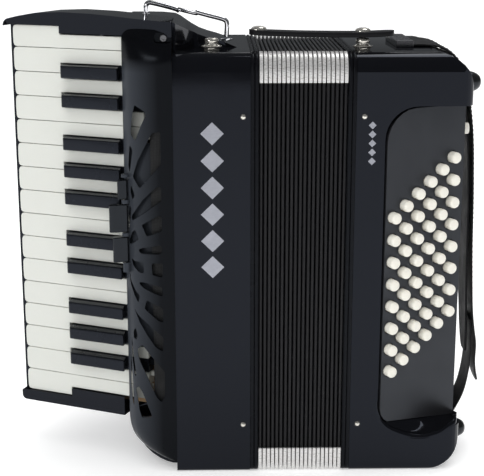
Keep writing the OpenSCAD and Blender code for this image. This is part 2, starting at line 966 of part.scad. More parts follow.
treble_casing();
fingerboard();
key_axle();
treble_grille();
grille_cloth();
register_switch(1);  // register_switch_1
register_switch(2);  // register_switch_2
register_switch(3);  // register_switch_3
treble_foundation_board();
treble_reed_blocks();
treble_bellows_frame();
treble_fasteners();
strap_bail();
bellows_folds();
bellows_corner_guards();
bass_casing();
bass_bellows_frame();
bass_fasteners();
bass_button_board();
bass_reed_blocks();
bass_mechanism();
bass_back_cover();
air_button();
rubber_feet();
bass_strap();
bass_strap_pad();
bass_strap_clip();
bellows_strap();
for (col = [0 : 5])
  button_line(col);
for (k = [0 : len(KEYS) - 1])
  key(k);
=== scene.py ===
import json
import math

import bmesh
import bpy
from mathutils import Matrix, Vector


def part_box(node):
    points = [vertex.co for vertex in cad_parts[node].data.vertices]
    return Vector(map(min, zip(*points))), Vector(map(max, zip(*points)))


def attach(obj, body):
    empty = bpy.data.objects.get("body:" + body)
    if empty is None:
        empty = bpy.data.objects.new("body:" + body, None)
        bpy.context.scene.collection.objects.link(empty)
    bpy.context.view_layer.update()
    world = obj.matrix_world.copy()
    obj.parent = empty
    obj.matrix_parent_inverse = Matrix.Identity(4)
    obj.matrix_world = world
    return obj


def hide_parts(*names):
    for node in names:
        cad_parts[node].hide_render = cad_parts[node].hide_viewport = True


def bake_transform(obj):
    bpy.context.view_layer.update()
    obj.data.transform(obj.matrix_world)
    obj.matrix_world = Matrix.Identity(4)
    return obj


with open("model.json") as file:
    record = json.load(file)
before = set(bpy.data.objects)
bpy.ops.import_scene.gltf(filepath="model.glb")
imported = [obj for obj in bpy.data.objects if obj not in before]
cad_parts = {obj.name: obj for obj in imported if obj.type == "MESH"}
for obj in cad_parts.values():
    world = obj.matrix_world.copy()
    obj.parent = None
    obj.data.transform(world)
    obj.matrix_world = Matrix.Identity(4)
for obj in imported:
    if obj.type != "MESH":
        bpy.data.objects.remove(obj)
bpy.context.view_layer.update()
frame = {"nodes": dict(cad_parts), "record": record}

# Sizes of the drawing, in millimetres
MM = 0.001
BODY_D = 165
CASING_H = 340
END_X = 231
END_RADIUS = 30
TREBLE_W = 59.5
BELLOWS_X = (66, 134)
FOLDS = 20
FOLD_PITCH = 3.4
FOLD_PEAK, FOLD_VALLEY = 1.6, 8.5

# The drawing origin is the treble casing's lower front left corner, as in the CAD source.
CORNER = Vector((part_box("treble_bellows_frame")[0].x - TREBLE_W * MM,
                 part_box("bass_casing")[0].y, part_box("bass_casing")[0].z))


def at(x, y, z):
    """A point of the drawing, in millimetres from CORNER, as metres in the row frame."""
    return CORNER + Vector((x, y, z)) * MM


# The keyboard's frame: x towards the grille, y into the board, z up
KEY_ANGLE = math.radians(-23.9)
KEY_ORIGIN = (-45, 30)


def on_keys(x, y, z):
    c, s = math.cos(KEY_ANGLE), math.sin(KEY_ANGLE)
    return at(KEY_ORIGIN[0] + x * c - y * s, KEY_ORIGIN[1] + x * s + y * c, z)


# The bass board's frame: x along the board, y into the casing
BOARD_ANGLE = math.radians(26)
BOARD_ORIGIN = (163, 2.5)


def on_board(x, y, z):
    c, s = math.cos(BOARD_ANGLE), math.sin(BOARD_ANGLE)
    return at(BOARD_ORIGIN[0] + x * c - y * s, BOARD_ORIGIN[1] + x * s + y * c, z)


# ---- Node helpers ----

class Graph:
    """A material's node tree, written as calls."""

    def __init__(self, name):
        self.mat = bpy.data.materials.new(name)
        self.mat.use_nodes = True
        self.tree = self.mat.node_tree
        self.tree.nodes.clear()

    def node(self, kind, **values):
        made = self.tree.nodes.new(kind)
        for key, value in values.items():
            setattr(made, key, value)
        return made

    def put(self, node, **inputs):
        for key, value in inputs.items():
            socket = node.inputs[key.replace("_", " ")]
            if isinstance(value, bpy.types.NodeSocket):
                self.tree.links.new(value, socket)
            else:
                socket.default_value = value
        return node

    def place(self, scale=None):
        spot = self.node("ShaderNodeTexCoord").outputs["Object"]
        if scale is None:
            return spot
        made = self.node("ShaderNodeMapping")
        self.put(made, Vector=spot, Scale=scale)
        return made.outputs["Vector"]

    def noise(self, scale, detail=3.0, rough=0.5, vector=None):
        made = self.node("ShaderNodeTexNoise")
        self.put(made, Scale=scale, Detail=detail, Roughness=rough, Vector=vector or self.place())
        return made.outputs["Fac"]

    def ramp(self, fac, low, high, at_low=0.3, at_high=0.7):
        made = self.node("ShaderNodeMapRange")
        self.put(made, Value=fac, From_Min=at_low, From_Max=at_high, To_Min=low, To_Max=high)
        return made.outputs["Result"]

    def mix(self, fac, a, b):
        made = self.node("ShaderNodeMix", data_type="RGBA")
        self.tree.links.new(fac, made.inputs[0])
        for socket, value in ((made.inputs[6], a), (made.inputs[7], b)):
            if isinstance(value, tuple):
                socket.default_value = (*value, 1)
            else:
                self.tree.links.new(value, socket)
        return made.outputs[2]

    def bump(self, height, strength, distance, normal=None):
        made = self.node("ShaderNodeBump")
        self.put(made, Height=height, Strength=strength, Distance=distance)
        if normal:
            self.tree.links.new(normal, made.inputs["Normal"])
        return made.outputs["Normal"]

    def shader(self, color, rough, normal=None, **more):
        made = self.node("ShaderNodeBsdfPrincipled")
        self.put(made, Base_Color=color, Roughness=rough, **more)
        if normal:
            self.tree.links.new(normal, made.inputs["Normal"])
        out = self.node("ShaderNodeOutputMaterial")
        self.tree.links.new(made.outputs["BSDF"], out.inputs["Surface"])
        return self.mat


# ---- Materials ----

def lacquer(name, base, tint, rough, wave=0.03):
    """Polished lacquer: faint orange peel, a little haze and fine dust."""
    g = Graph(name)
    haze = g.ramp(g.noise(35, 6, 0.6), rough * 0.7, rough * 1.4)
    dust = g.ramp(g.noise(1800, 2), 0.0, 0.25, 0.72, 0.8)
    color = g.mix(dust, g.mix(g.noise(9, 4), base, tint), tuple(c * 2.5 for c in tint))
    return g.shader(color, haze, g.bump(g.noise(260, 2), wave, 0.0002),
                    Specular_IOR_Level=0.22, Specular_Tint=(0.72, 0.80, 1.0, 1))


# The grille's painted reflection: a lighter colour painted on its left side, and the metres of X and of
# height over which it fades out
PAINTED_REFLECTION = (0.038, 0.043, 0.052)
PAINTED_REFLECTION_X = (-0.093, -0.066)
PAINTED_REFLECTION_Z = (0.325, 0.336)


def satin(name, base, tint, rough, depth=0.12, specular=0.4, painted_reflection=None):
    """Satin moulding with a fine sandy grain, and a painted reflection, lighter on its left side and
    gone towards the top, if one is given.
    """
    g = Graph(name)
    color = g.mix(g.noise(22, 4), base, tint)
    # painted reflection: the lighter colour on the left, fading to the plain colour towards the right
    # and towards the top
    if painted_reflection:
        spot = g.node("ShaderNodeSeparateXYZ")
        g.put(spot, Vector=g.place())
        left = g.mix(g.ramp(spot.outputs["Z"], 0, 1, *PAINTED_REFLECTION_Z), painted_reflection, color)
        color = g.mix(g.ramp(spot.outputs["X"], 0, 1, *PAINTED_REFLECTION_X), left, color)
    return g.shader(color, g.ramp(g.noise(60, 5), rough * 0.85, rough * 1.15),
                    g.bump(g.noise(1500, 2), depth, 0.0002),
                    Specular_IOR_Level=specular, Specular_Tint=(0.80, 0.88, 1.0, 1))


def metal(name, base, tint, rough, scratch=0.05, metallic=1.0):
    """Metal with long fine scratches."""
    g = Graph(name)
    lines = g.noise(8, 5, 0.6, g.place((40, 40, 500)))
    return g.shader(g.mix(g.noise(60, 4), base, tint), g.ramp(lines, rough * 0.7, rough * 1.4),
                    g.bump(lines, scratch, 0.0001), Metallic=metallic)


def ivory(name, base, tint, rough, inside=0.05):
    """Polished celluloid: soft light inside and fine hairlines."""
    g = Graph(name)
    hairs = g.noise(6, 4, 0.5, g.place((60, 60, 900)))
    return g.shader(g.mix(g.noise(45, 5), base, tint), g.ramp(hairs, rough * 0.8, rough * 1.3),
                    g.bump(g.noise(500, 2), 0.015, 0.0001), Subsurface_Weight=inside,
                    Subsurface_Radius=(0.003, 0.0025, 0.002), Specular_IOR_Level=0.4)


def leather(name, base, tint):
    """Leather: small pebbles over soft creases."""
    g = Graph(name)
    cells = g.node("ShaderNodeTexVoronoi", feature="SMOOTH_F1")
    g.put(cells, Scale=1100.0, Vector=g.place())
    pebbles = g.bump(cells.outputs["Distance"], 0.4, 0.0003)
    return g.shader(g.mix(g.noise(70, 5), base, tint), g.ramp(g.noise(90, 5), 0.36, 0.5),
                    g.bump(g.noise(60, 4), 0.2, 0.0006, pebbles), Specular_IOR_Level=0.12)


def cloth(name, base, tint, scale, rough=0.7):
    """Woven cloth: two crossed waves."""
    g = Graph(name)
    weave = g.node("ShaderNodeMath", operation="MULTIPLY")
    for slot, axis in enumerate(("X", "Z")):
        wave = g.node("ShaderNodeTexWave", wave_type="BANDS", bands_direction=axis)
        g.put(wave, Scale=scale, Distortion=0.6, Detail=1.0, Vector=g.place())
        g.tree.links.new(wave.outputs["Fac"], weave.inputs[slot])
    thread = weave.outputs[0]
    return g.shader(g.mix(thread, base, tint), g.ramp(g.noise(90, 4), rough * 0.85, rough * 1.1),
                    g.bump(thread, 0.5, 0.0003), Specular_IOR_Level=0.3)


def wood(name, base, tint):
    """Plain wood with its grain along Z."""
    g = Graph(name)
    grain = g.noise(6, 8, 0.65, g.place((60, 60, 4)))
    return g.shader(g.mix(grain, base, tint), 0.6, g.bump(grain, 0.2, 0.0004))


MATERIALS = {
    "black_lacquer": lacquer("black_lacquer", (0.0035, 0.0036, 0.0045), (0.0045, 0.0047, 0.006), 0.07),
    # the grille's plastic, with the painted reflection on its left side
    "black_plastic": satin("black_plastic", (0.002, 0.0021, 0.0026), (0.003, 0.0032, 0.004), 0.2,
                           0.03, 0.1, PAINTED_REFLECTION),
    "black_satin": satin("black_satin", (0.003, 0.003, 0.004), (0.005, 0.005, 0.006), 0.26, 0.12, 0.12),
    "board_satin": satin("board_satin", (0.016, 0.016, 0.018), (0.019, 0.019, 0.021), 0.42),
    "mesh_cloth": cloth("mesh_cloth", (0.002, 0.002, 0.002), (0.020, 0.021, 0.023), 260),
    "bellows_leathercloth": cloth("bellows_leathercloth", (0.004, 0.004, 0.005),
                                  (0.007, 0.007, 0.009), 500, 0.38),
    "guard_steel": metal("guard_steel", (0.74, 0.73, 0.72), (0.70, 0.69, 0.68), 0.3, 0.0, 0.6),
    "steel": metal("steel", (0.55, 0.55, 0.55), (0.62, 0.62, 0.62), 0.3),
    "nickel": metal("nickel", (0.78, 0.75, 0.69), (0.70, 0.67, 0.61), 0.14, 0.05, 0.85),
    "chrome": metal("chrome", (0.80, 0.80, 0.83), (0.74, 0.74, 0.77), 0.07, 0.02),
    "clip_steel": metal("clip_steel", (0.20, 0.20, 0.21), (0.14, 0.14, 0.15), 0.3),
    "wood": wood("wood", (0.60, 0.40, 0.22), (0.45, 0.28, 0.14)),
    "rubber": satin("rubber", (0.006, 0.006, 0.006), (0.010, 0.010, 0.010), 0.3),
    "strap_leather": leather("strap_leather", (0.006, 0.006, 0.007), (0.010, 0.010, 0.011)),
    "switch_plastic": satin("switch_plastic", (0.004, 0.0045, 0.0055), (0.007, 0.0075, 0.009), 0.18,
                            0.05, 0.3),
    "cream_button": ivory("cream_button", (0.88, 0.86, 0.78), (0.86, 0.83, 0.74), 0.3),
    "white_key": ivory("white_key", (0.69, 0.70, 0.655), (0.66, 0.67, 0.625), 0.22),
    "black_key": lacquer("black_key", (0.006, 0.0065, 0.0085), (0.008, 0.009, 0.011), 0.24, 0.05),
}
INLAY = metal("silver_print", (0.46, 0.47, 0.52), (0.42, 0.43, 0.48), 0.5, 0.02)
STITCH = satin("stitch_thread", (0.008, 0.008, 0.009), (0.014, 0.014, 0.015), 0.7, 0.1, 0.1)
SLOTS = {row["node"]: row["material_slot"] for row in frame["record"]["subparts"]}
BODIES = {node: body for body, nodes in frame["record"]["behaviour"]["bodies"].items()
          for node in nodes}


# ---- Mesh helpers ----

def add_modifier(obj, kind, **values):
    made = obj.modifiers.new(kind.lower(), kind)
    for key, value in values.items():
        setattr(made, key, value)
    return made


def bevel(obj, width, segments=2, angle=30):
    return add_modifier(obj, "BEVEL", width=width * MM, segments=segments, limit_method="ANGLE",
                        angle_limit=math.radians(angle), harden_normals=True)


def new_object(name, mesh, smooth=35):
    obj = bpy.data.objects.new(name, mesh)
    bpy.context.scene.collection.objects.link(obj)
    mesh.shade_smooth()
    mesh.set_sharp_from_angle(angle=math.radians(smooth))
    return obj


def from_bmesh(name, bm, smooth=35):
    bmesh.ops.recalc_face_normals(bm, faces=bm.faces)
    mesh = bpy.data.meshes.new(name)
    bm.to_mesh(mesh)
    bm.free()
    return new_object(name, mesh, smooth)


def loft(bm, rings, cap=False, closed=False):
    """Joins rings of points, each a closed loop of the same length."""
    loops = [[bm.verts.new(p) for p in ring] for ring in rings]
    pairs = list(zip(loops, loops[1:]))
    if closed:
        pairs.append((loops[-1], loops[0]))
    for a, b in pairs:
        for i in range(len(a)):
            j = (i + 1) % len(a)
            bm.faces.new((a[i], a[j], b[j], b[i]))
    if cap:
        bm.faces.new(loops[0])
        bm.faces.new(list(reversed(loops[-1])))


def grid(bm, rows):
    """Joins rows of points of the same length into an open sheet."""
    lines = [[bm.verts.new(p) for p in row] for row in rows]
    for a, b in zip(lines, lines[1:]):
        for i in range(len(a) - 1):
            bm.faces.new((a[i], a[i + 1], b[i + 1], b[i]))


def prism(bm, outline, frame_at, low, high, axis="y"):
    """An outline pushed along one axis of a frame: along y the outline is in x and z."""
    spot = {"y": lambda p, d: frame_at(p[0], d, p[1]),
            "z": lambda p, d: frame_at(p[0], p[1], d),
            "x": lambda p, d: frame_at(d, p[0], p[1])}[axis]
    loft(bm, [[spot(p, low) for p in outline], [spot(p, high) for p in outline]], cap=True)


def lathe(bm, profile, spot, steps=32):
    """Turns (radius, height) pairs; spot maps (across, along, height) to a point."""
    rings = []
    for r, h in profile:
        ring = []
        for i in range(steps):
            turn = 2 * math.pi * i / steps
            ring.append(spot(max(r, 0.01) * math.cos(turn), max(r, 0.01) * math.sin(turn), h))
        rings.append(ring)
    loft(bm, rings, cap=True)


def tube(bm, points, radius, steps=16, closed=False):
    """A round wire along points in metres."""
    rings = []
    side = Vector((0, 1, 0.01)).normalized()
    count = len(points)
    for i, p in enumerate(points):
        a = points[(i - 1) % count] if closed or i else p
        b = points[(i + 1) % count] if closed or i < count - 1 else p
        along = (b - a).normalized()
        side = (side - along * side.dot(along)).normalized()
        other = along.cross(side)
        rings.append([p + (side * math.cos(2 * math.pi * k / steps)
                           + other * math.sin(2 * math.pi * k / steps)) * radius * MM
                      for k in range(steps)])
    loft(bm, rings, cap=not closed, closed=closed)


def spline(points, per_span=8):
    """A smooth curve through points of any size."""
    out = []
    for i in range(len(points) - 1):
        p0 = points[max(i - 1, 0)]
        p1 = points[i]
        p2 = points[i + 1]
        p3 = points[min(i + 2, len(points) - 1)]
        for k in range(per_span):
            t = k / per_span
            out.append(tuple(0.5 * (2 * b + (c - a) * t + (2 * a - 5 * b + 4 * c - d) * t * t
                                    + (3 * b - 3 * c + d - a) * t ** 3)
                             for a, b, c, d in zip(p0, p1, p2, p3)))
    out.append(tuple(points[-1]))
    return out


def round_corners(outline, radius, steps=4):
    """The outline with each corner cut back and rounded."""
    out = []
    count = len(outline)
    for i, p in enumerate(outline):
        corner = Vector(p)
        a = Vector(outline[i - 1]) - corner
        b = Vector(outline[(i + 1) % count]) - corner
        cut = min(radius, a.length * 0.45, b.length * 0.45)
        start = corner + a.normalized() * cut
        end = corner + b.normalized() * cut
        for k in range(steps + 1):
            t = k / steps
            out.append(tuple((1 - t) ** 2 * start + 2 * t * (1 - t) * corner + t * t * end))
    return out


def side_outline(inset, steps=8):
    """The bellows and casing outline in Y and Z, with the same number of points for any inset."""
    top_radius, low_radius = 14, 4
    y0, y1 = inset, BODY_D - inset
    z0, z1 = 0.3 + max(inset, 0), CASING_H - inset
    top = max(top_radius - inset, 1.5)
    low = max(low_radius - inset, 1)
    corners = ((y0 + top, z1 - top, top, 180), (y1 - top, z1 - top, top, 90),
               (y1 - low, z0 + low, low, 0), (y0 + low, z0 + low, low, -90))
    out = []
    for cy, cz, r, start in corners:
        for k in range(steps + 1):
            turn = math.radians(start - 90 * k / steps)
            out.append((cy + r * math.cos(turn), cz + r * math.sin(turn)))
    return out


def finish_piece(obj, node, slot=None, mat=None, replaces=True):
    """Gives a piece the material of its slot and its body, and hides the CAD node it stands for."""
    slot = slot or SLOTS[node]
    obj.data.materials.clear()
    obj.data.materials.append(mat or MATERIALS[slot])
    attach(obj, BODIES[node])
    if replaces:
        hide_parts(node)
    return obj


def rounded_copy(node, width, segments=2, angle=30, cutter=None):
    """The CAD node's own solids with their edges rounded, after a cut if one is given."""
    bm = bmesh.new()
    bm.from_mesh(frame["nodes"][node].data)
    if cutter:
        bmesh.ops.remove_doubles(bm, verts=bm.verts, dist=1e-6)
        solid = from_bmesh(node + "_solid", bm)
        add_modifier(solid, "BOOLEAN", object=cutter, operation="DIFFERENCE", solver="EXACT",
                     use_self=True, use_hole_tolerant=True)
        depsgraph = bpy.context.evaluated_depsgraph_get()
        cut = bpy.data.meshes.new_from_object(solid.evaluated_get(depsgraph))
        bpy.data.objects.remove(solid)
        bpy.data.objects.remove(cutter)
        bm = bmesh.new()
        bm.from_mesh(cut)
    bmesh.ops.remove_doubles(bm, verts=bm.verts, dist=1e-6)
    bmesh.ops.dissolve_limit(bm, angle_limit=math.radians(0.5), verts=bm.verts, edges=bm.edges)
    obj = from_bmesh(node + "_piece", bm, angle)
    bevel(obj, width, segments, angle)
    return finish_piece(obj, node)


# ---- Treble side ----

# The grille's outer skin in X and Y, its ends in Z, its reach to the left and its corner radii
GRILLE_PLAN = spline([(0, -1), (-6, -1.2), (-13, 0.2), (-20, 2.8), (-27, 6.8), (-33, 11.8),
                      (-37, 17), (-39.2, 20.8), (-39.4, 24.1)], 6)
GRILLE_LOW, GRILLE_HIGH = 9.6, 357
GRILLE_REACH = 39.5
GRILLE_LOW_R, GRILLE_HIGH_R = 35, 8
# The openings in X and Z, from the top down
GRILLE_SLOTS = [
    [(-29.5, 300.5), (-21.5, 296), (-20.5, 293.5), (-25, 284), (-29.5, 272.5), (-33, 277.5),
     (-31.5, 291.5)],
    [(-34, 269), (-31.5, 264.5), (-32.5, 260), (-33.5, 252), (-34.5, 247), (-35.4, 252)],
    [(-16, 280), (-9.5, 281), (-9.5, 255.5), (-26.5, 235.5), (-32, 244), (-28, 256.5), (-22, 268.5)],
    [(-33.5, 237), (-30.5, 229.5), (-32.5, 225.5), (-34, 232)],
    [(-13, 238), (-9.5, 238), (-9.5, 227), (-33, 208.5), (-33.5, 212.5), (-24.5, 226.5)],
    [(-35, 220.5), (-34, 218.5), (-34.6, 209.5), (-36.5, 200), (-36.2, 209.5)],
    [(-25.5, 206.5), (-12.5, 215), (-9.5, 214.5), (-9.5, 203), (-21.5, 197.5)],
    [(-31, 202), (-28, 195), (-29, 193.5), (-35.2, 188.5), (-36, 191), (-33.5, 199)],
    [(-28, 186.5), (-25, 188), (-11, 191.5), (-9.5, 190.5), (-9.5, 186), (-11.5, 184), (-26, 183),
     (-28, 184.6)],
    [(-34.4, 178), (-32, 176), (-24.5, 176.5), (-24.5, 167), (-28.5, 167.5), (-33, 172)],
    [(-18, 176.5), (-9, 177), (-9.5, 165.5), (-17.5, 166.5)],
    [(-28, 159.5), (-24.5, 160), (-10, 157.5), (-9.5, 150), (-14.5, 151), (-24, 154.5), (-28, 157.5)],
    [(-36.5, 163.5), (-34.5, 157.5), (-31, 151), (-28, 148.5), (-29.5, 142), (-32.5, 147.5),
     (-35.5, 156)],
    [(-22.5, 145.5), (-9.5, 140), (-9.5, 128.5), (-13, 129), (-24.5, 138)],
    [(-33, 137), (-30, 132), (-17, 122), (-9.5, 116), (-10, 104), (-15.5, 106.5), (-22.5, 116),
     (-29, 126.5)],
    [(-32.5, 120.5), (-30.5, 114.5), (-32, 110), (-34, 111.5), (-34, 117)],
    [(-27, 107.5), (-9, 87), (-9, 66), (-12, 60.5), (-16, 64.5), (-25, 84.5), (-30, 94), (-31, 102.5)],
    [(-36, 110.5), (-32.6, 80), (-33.8, 78.5), (-35.6, 92)],
    [(-30.5, 71), (-27.5, 66.5), (-20, 48), (-21, 46.5), (-28.5, 44), (-30.5, 50.5), (-33, 68.5)],
    [(-36.8, 98.5), (-34.8, 52), (-36.2, 56), (-37.4, 70.5)],
]


def grille_point(i, z):
    """A point of the grille's outer skin: i is the place along its plan, z the height."""
    x, y = GRILLE_PLAN[i]
    reach = GRILLE_REACH
    high, low = GRILLE_HIGH - GRILLE_HIGH_R, GRILLE_LOW + GRILLE_LOW_R
    if z > high:
        reach -= GRILLE_HIGH_R - math.sqrt(max(GRILLE_HIGH_R ** 2 - (z - high) ** 2, 0))
    if z < low:
        full = 2.4  # fuller than a quarter circle
        reach -= GRILLE_LOW_R
        reach += GRILLE_LOW_R * max(1 - ((low - z) / GRILLE_LOW_R) ** full, 0) ** (1 / full)
    # the top rolls over to the back
    start = 334 + 10 * x / GRILLE_REACH
    if z > start:
        y += 15 * (1 - (x / GRILLE_REACH) ** 2) * ((z - start) / (GRILLE_HIGH - start)) ** 2.2
    return at(x * (reach / GRILLE_REACH), y, z)


def treble_grille():
    """The curved grille with its openings, the ears between the switches and its screw."""
    bm = bmesh.new()
    heights = [GRILLE_LOW + GRILLE_LOW_R * (1 - math.cos(math.radians(3 + 87 * k / 12)))
               for k in range(13)]
    heights += [46 + 5 * k for k in range(57)]
    heights += [331 + 26 * math.sin(math.radians(90 * k / 16)) for k in range(17)]
    grid(bm, [[grille_point(i, z) for i in range(len(GRILLE_PLAN))] for z in heights])
    skin = from_bmesh("treble_grille_skin", bm)
    # the wall grows towards the rear, whichever way the skin's faces look
    middle = skin.data.polygons[len(skin.data.polygons) // 2].normal
    add_modifier(skin, "SOLIDIFY", thickness=2.4 * MM, offset=-1 if middle.y < 0 else 1)

    bm = bmesh.new()
    for slot in GRILLE_SLOTS:
        prism(bm, round_corners(slot, 1.6), at, -6, 30)
    # the screw recess at the top
    prism(bm, round_corners([(-13.6, 347.6), (-0.4, 347.6), (-0.4, 354.4), (-13.6, 354.4)], 3.4, 6),
          at, -6, 14)
    cutter = from_bmesh("grille_cutter", bm)
    add_modifier(skin, "BOOLEAN", object=cutter, operation="DIFFERENCE", solver="EXACT")
    shell = bpy.data.meshes.new_from_object(skin.evaluated_get(bpy.context.evaluated_depsgraph_get()))
    bpy.data.objects.remove(skin)
    bpy.data.objects.remove(cutter)

    bm = bmesh.new()
    bm.from_mesh(shell)
    bmesh.ops.remove_doubles(bm, verts=bm.verts, dist=2e-6)
    # ears between the switches
    for low, high in ((243, 245.4), (222, 225), (195.6, 198.2), (166.4, 173.9)):
        ear = round_corners([(-34.6, 14.6), (-37, 12), (-40, 11.8), (-41.4, 13), (-41.4, 15.5),
                             (-38.2, 18.5), (-36.2, 18)], 1.0)
        prism(bm, ear, at, low, high, "z")
    # floor of the screw recess, with the screw
    prism(bm, round_corners([(-14.2, 346.8), (0, 346.8), (0, 355), (-14.2, 355)], 3.6), at, 10.5, 11.5)
    # dark lining behind the slots
    front = [at(x + 0.4, y + 5.2, 0) for x, y in GRILLE_PLAN if -36.5 < x < -16]
    rear = [p + Vector((0.8, 1.0, 0)) * MM for p in reversed(front)]
    loft(bm, [[p + Vector((0, 0, z * MM)) for p in front + rear] for z in (106, 190, 271)], cap=True)
    obj = from_bmesh("treble_grille_piece", bm, 40)
    bevel(obj, 0.35, 2, 40)
    finish_piece(obj, "treble_grille")

    bm = bmesh.new()
    lathe(bm, [(0, 0), (2.9, 0), (2.9, 1.4), (2.4, 2.0), (1.3, 2.0), (1.1, 1.0), (0, 1.0)],
          lambda a, b, h: at(-6.5 + a, 10.6 - h, 351 + b), 24)
    screw = from_bmesh("grille_screw", bm)
    finish_piece(screw, "treble_grille", slot="clip_steel", replaces=False)


def grille_cloth():
    """The cloth stretched behind the openings."""
    bm = bmesh.new()
    line = [p for p in GRILLE_PLAN if -18.5 < p[0] < -2.5]
    grid(bm, [[at(x, y + 3.3, z) for x, y in line] for z in range(60, 301, 8)])
    obj = from_bmesh("grille_cloth_piece", bm)
    finish_piece(obj, "grille_cloth")


def turned(name, node, jobs, **more):
    """One piece of several turned parts: (profile, spot) pairs."""
    bm = bmesh.new()
    for profile, spot in jobs:
        lathe(bm, profile, spot, 36)
    return finish_piece(from_bmesh(name, bm, 40), node, **more)


# Profiles as (radius, height)
PIN = [(0, 0), (2.15, 0), (2.15, 0.5), (1.9, 0.9), (1.5, 1.35), (1.0, 1.65), (0.5, 1.78), (0, 1.8)]
STUD = [(0, 0), (5.9, 0), (6.0, 0.3), (6.0, 1.8), (7.4, 2.2), (7.9, 2.7), (8.0, 3.1), (7.8, 3.5),
        (5.6, 4.1), (5.1, 4.6), (5.0, 5.4), (5.3, 6.0), (5.3, 8.0), (5.0, 8.8), (4.2, 9.3), (2.0, 9.6),
        (0, 9.6)]


def up_from(x, y, z):
    return lambda a, b, h: at(x + a, y + b, z + h)


def pin_spot(x, z, rear):
    return lambda a, b, h: at(x + a, BODY_D + h if rear else -h, z + b)


def fasteners(node, pin_x, stud):
    """Two pins in front and two behind, and the strap stud on top."""
    jobs = [(PIN, pin_spot(pin_x, z, rear)) for z in (40.9, 292.3) for rear in (False, True)]
    turned(node + "_piece", node, jobs + [(STUD, up_from(*stud, CASING_H))])


def strap_bail():
    """A bent wire bail of two halves, with an eye between them and a foot at each end."""
    bm = bmesh.new()
    mid_y = 65
    left = [(-22.2, 364), (-22.3, 368), (-22.0, 371.8), (-20.6, 373.8), (-17.5, 374), (-8, 371.8),
            (1, 369.3), (4.4, 367.6)]
    right = [(17.0, 367.4), (20, 366.2), (30, 363.5), (38.5, 361.3), (41.4, 359.6), (42.3, 356.5),
             (42.0, 350), (41.8, 345)]
    for line in (left, right):
        tube(bm, [at(x, mid_y, z) for x, z in spline(line, 6)], 1.95)
    # the eye: a long flat ring of the same wire between the two halves
    ring = []
    for k in range(36):
        turn = 2 * math.pi * k / 36
        along = 7.3 * math.cos(turn)
        ring.append(at(10.8 + along, mid_y + 2.5 * math.sin(turn), 367.2 - 0.24 * along))
    tube(bm, ring, 1.5, closed=True)
    for x, z, r in ((-22.2, 364.1, 3.0), (41.8, 344.6, 5.0)):
        lathe(bm, [(0, 0), (r, 0), (r, 0.9), (r - 0.5, 1.3), (2.6, 1.5), (2.2, 2.6), (0, 2.6)],
              up_from(x, mid_y, z))
    finish_piece(from_bmesh("strap_bail_piece", bm, 50), "strap_bail")


def inlay(name, body_node, x, low, high, count, wide):
    """A row of plain silver lozenges in the front face."""
    bm = bmesh.new()
    pitch = (high - low) / count
    for k in range(count):
        z = low + (k + 0.5) * pitch
        tall = pitch * 0.42
        prism(bm, [(x - wide / 2, z), (x, z - tall), (x + wide / 2, z), (x, z + tall)], at, -0.12, 0.6)
    finish_piece(from_bmesh(name, bm), body_node, slot="nickel", mat=INLAY, replaces=False)


def bellows_frame(node, x):
    """Two rounded ridges side by side, swept around the casing's outline."""
    bm = bmesh.new()
    profile = [(0.0, 9), (0.0, 0.1)]
    for centre in (1.75, 4.75):
        for k in range(9):
            turn = math.radians(180 - 180 * k / 8)
            profile.append((centre + 1.45 * math.cos(turn), 0.1 - 1.3 * math.sin(turn)))
    profile += [(6.5, 0.1), (6.5, 9)]
    rings = [[at(x + px, y, z) for y, z in side_outline(inset)] for px, inset in profile]
    loft(bm, rings, closed=True)
    finish_piece(from_bmesh(node + "_piece", bm, 50), node)


# ---- Bellows ----

# The heights where the corner guards end, and their reach from front and rear
GUARD_LOW, GUARD_TOP = 20, 318
GUARD_DEPTH = 14.5


def follow_bellows(obj):
    """Bakes a bellows piece's placement into its mesh."""
    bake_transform(obj)


def ring_strip(bm, x, outer, inner):
    """A flat ring between two outlines, in a plane of constant X."""
    a = [bm.verts.new(at(x, y, z)) for y, z in outer]
    b = [bm.verts.new(at(x, y, z)) for y, z in inner]
    for i in range(len(a)):
        j = (i + 1) % len(a)
        bm.faces.new((a[i], a[j], b[j], b[i]))


def dense_outline(inset):
    """The outline with extra points where the corner guards end."""
    base = side_outline(inset)
    out = []
    for i, p in enumerate(base):
        q = base[(i + 1) % len(base)]
        out.append(p)
        if abs(p[1] - q[1]) > 200:
            spots = (GUARD_LOW, CASING_H / 2, GUARD_TOP)
            out += [(p[0], z) for z in sorted(spots, reverse=p[1] > q[1])]
        elif abs(p[0] - q[0]) > 40:
            spots = (GUARD_DEPTH, BODY_D / 2, BODY_D - GUARD_DEPTH)
            out += [(y, p[1]) for y in sorted(spots, reverse=p[0] > q[0])]
    return out


def corner_strip(bm, x, outer, inner):
    """The part of a ring that lies on the four corners."""
    keep = [not GUARD_LOW < z < GUARD_TOP and not GUARD_DEPTH < y < BODY_D - GUARD_DEPTH
            for y, z in inner]
    a = [bm.verts.new(at(x, y, z)) for y, z in outer]
    b = [bm.verts.new(at(x, y, z)) for y, z in inner]
    for i in range(len(a)):
        j = (i + 1) % len(a)
        if keep[i] and keep[j]:
            bm.faces.new((a[i], a[j], b[j], b[i]))
    bmesh.ops.delete(bm, geom=[v for v in a + b if not v.link_faces], context="VERTS")


